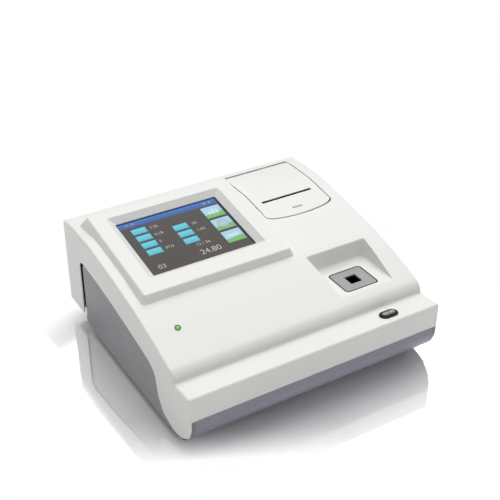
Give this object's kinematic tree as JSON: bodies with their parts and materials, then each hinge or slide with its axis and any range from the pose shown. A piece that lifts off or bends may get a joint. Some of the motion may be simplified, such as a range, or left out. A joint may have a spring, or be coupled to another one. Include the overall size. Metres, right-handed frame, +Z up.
{
  "type": "specific protein analyzer",
  "caption": "Benchtop protein analyzer with a sloping white cover, a raised touch screen, a receipt printer under a hinged lid and a heated cuvette well.",
  "frame": {"origin": "middle of the footprint, on the surface that the feet stand on", "axes": "+X to the right of someone who faces the front, +Y to the back, +Z up"},
  "size_m": [0.28, 0.269, 0.1247],
  "materials": {
    "white_plastic": "satin white moulded plastic",
    "grey_plastic": "satin blue-grey moulded plastic",
    "dark_plastic": "dark satin plastic",
    "mid_grey_plastic": "mid grey satin plastic",
    "natural_plastic": "natural gear plastic",
    "rubber": "matt black rubber",
    "steel": "plain steel",
    "satin_metal": "satin aluminium",
    "black_metal": "black anodised aluminium",
    "display_case": "back and edge of a display module",
    "brass": "plain brass",
    "circuit_board": "green solder mask",
    "screen_glass": "glass over a lit display",
    "clear_lens": "clear optical glass",
    "green_lens": "lit green lens",
    "paper": "thermal paper",
    "heater_film": "amber heater film"
  },
  "bodies": {
    "case": {"backup_battery": "steel", "base_tray": "grey_plastic", "button_board": "circuit_board", "button_ring": "dark_plastic", "button_switch": "dark_plastic", "buzzer": "dark_plastic", "case_screw_front_left": "steel", "case_screw_front_right": "steel", "case_screw_rear_left": "steel", "case_screw_rear_right": "steel", "cuvette_block": "black_metal", "detector_lens": "clear_lens", "display_bracket": "steel", "display_cable": "dark_plastic", "display_module": "display_case", "display_screw_front_left": "steel", "display_screw_front_right": "steel", "display_screw_rear_left": "steel", "display_screw_rear_right": "steel", "foot_front_left": "rubber", "foot_front_right": "rubber", "foot_rear_left": "rubber", "foot_rear_right": "rubber", "head_spring": "steel", "heater_pad": "heater_film", "io_board": "circuit_board", "lid_hinge_rod": "steel", "light_board": "circuit_board", "light_lens": "green_lens", "light_ring": "dark_plastic", "light_source": "satin_metal", "main_board": "circuit_board", "optics_chassis": "satin_metal", "power_board": "circuit_board", "power_inlet": "dark_plastic", "print_head": "satin_metal", "printer_frame": "dark_plastic", "printer_motor": "steel", "rear_panel": "grey_plastic", "rear_screw_left": "steel", "rear_screw_right": "steel", "scatter_detector": "dark_plastic", "serial_port": "satin_metal", "side_panel_left": "grey_plastic", "side_panel_right": "grey_plastic", "source_lens": "clear_lens", "stir_motor": "steel", "top_cover": "white_plastic", "touch_glass": "screen_glass", "usb_port": "satin_metal", "well_plate": "satin_metal"},
    "lid": {"printer_lid": "white_plastic"},
    "button": {"power_button": "mid_grey_plastic"},
    "platen": {"platen_roller": "rubber", "platen_gear": "natural_plastic"},
    "idler": {"idler_gear": "natural_plastic"},
    "pinion": {"motor_pinion": "brass"},
    "paper": {"paper_roll": "paper", "paper_spindle": "mid_grey_plastic"},
    "stirrer": {"stir_rotor": "steel"}
  },
  "joints": [
    {"name": "lid_hinge", "type": "hinge", "parent": "case", "child": "lid", "pos_m": [0.0853, 0.1176, 0.10875], "axis": [-1, 0, 0], "range_deg": [0, 80]},
    {"name": "power_button_press", "type": "slide", "parent": "case", "child": "button", "axis": [0, -0.0925, -0.9957], "range_m": [0, 0.0015], "stiffness_N_per_m": 300, "springref_m": -0.002},
    {"name": "platen_spin", "type": "hinge", "parent": "case", "child": "platen", "pos_m": [0.0853, 0.0519, 0.09293], "axis": [1, 0, 0], "continuous": true},
    {"name": "idler_spin", "type": "hinge", "parent": "case", "child": "idler", "pos_m": [0.1222, 0.04588, 0.0764], "axis": [1, 0, 0], "continuous": true},
    {"name": "motor_pinion_spin", "type": "hinge", "parent": "case", "child": "pinion", "pos_m": [0.1222, 0.03352, 0.07308], "axis": [1, 0, 0], "continuous": true},
    {"name": "paper_roll_spin", "type": "hinge", "parent": "case", "child": "paper", "pos_m": [0.0853, 0.09, 0.08368], "axis": [1, 0, 0], "continuous": true},
    {"name": "stir_spin", "type": "hinge", "parent": "case", "child": "stirrer", "pos_m": [0.0823, -0.0683, 0.02335], "axis": [0, 0, 1], "continuous": true}
  ],
  "couplings": [
    {"joint": "idler_spin", "follows": "platen_spin", "ratio": -1.2},
    {"joint": "motor_pinion_spin", "follows": "platen_spin", "ratio": 2}
  ]
}
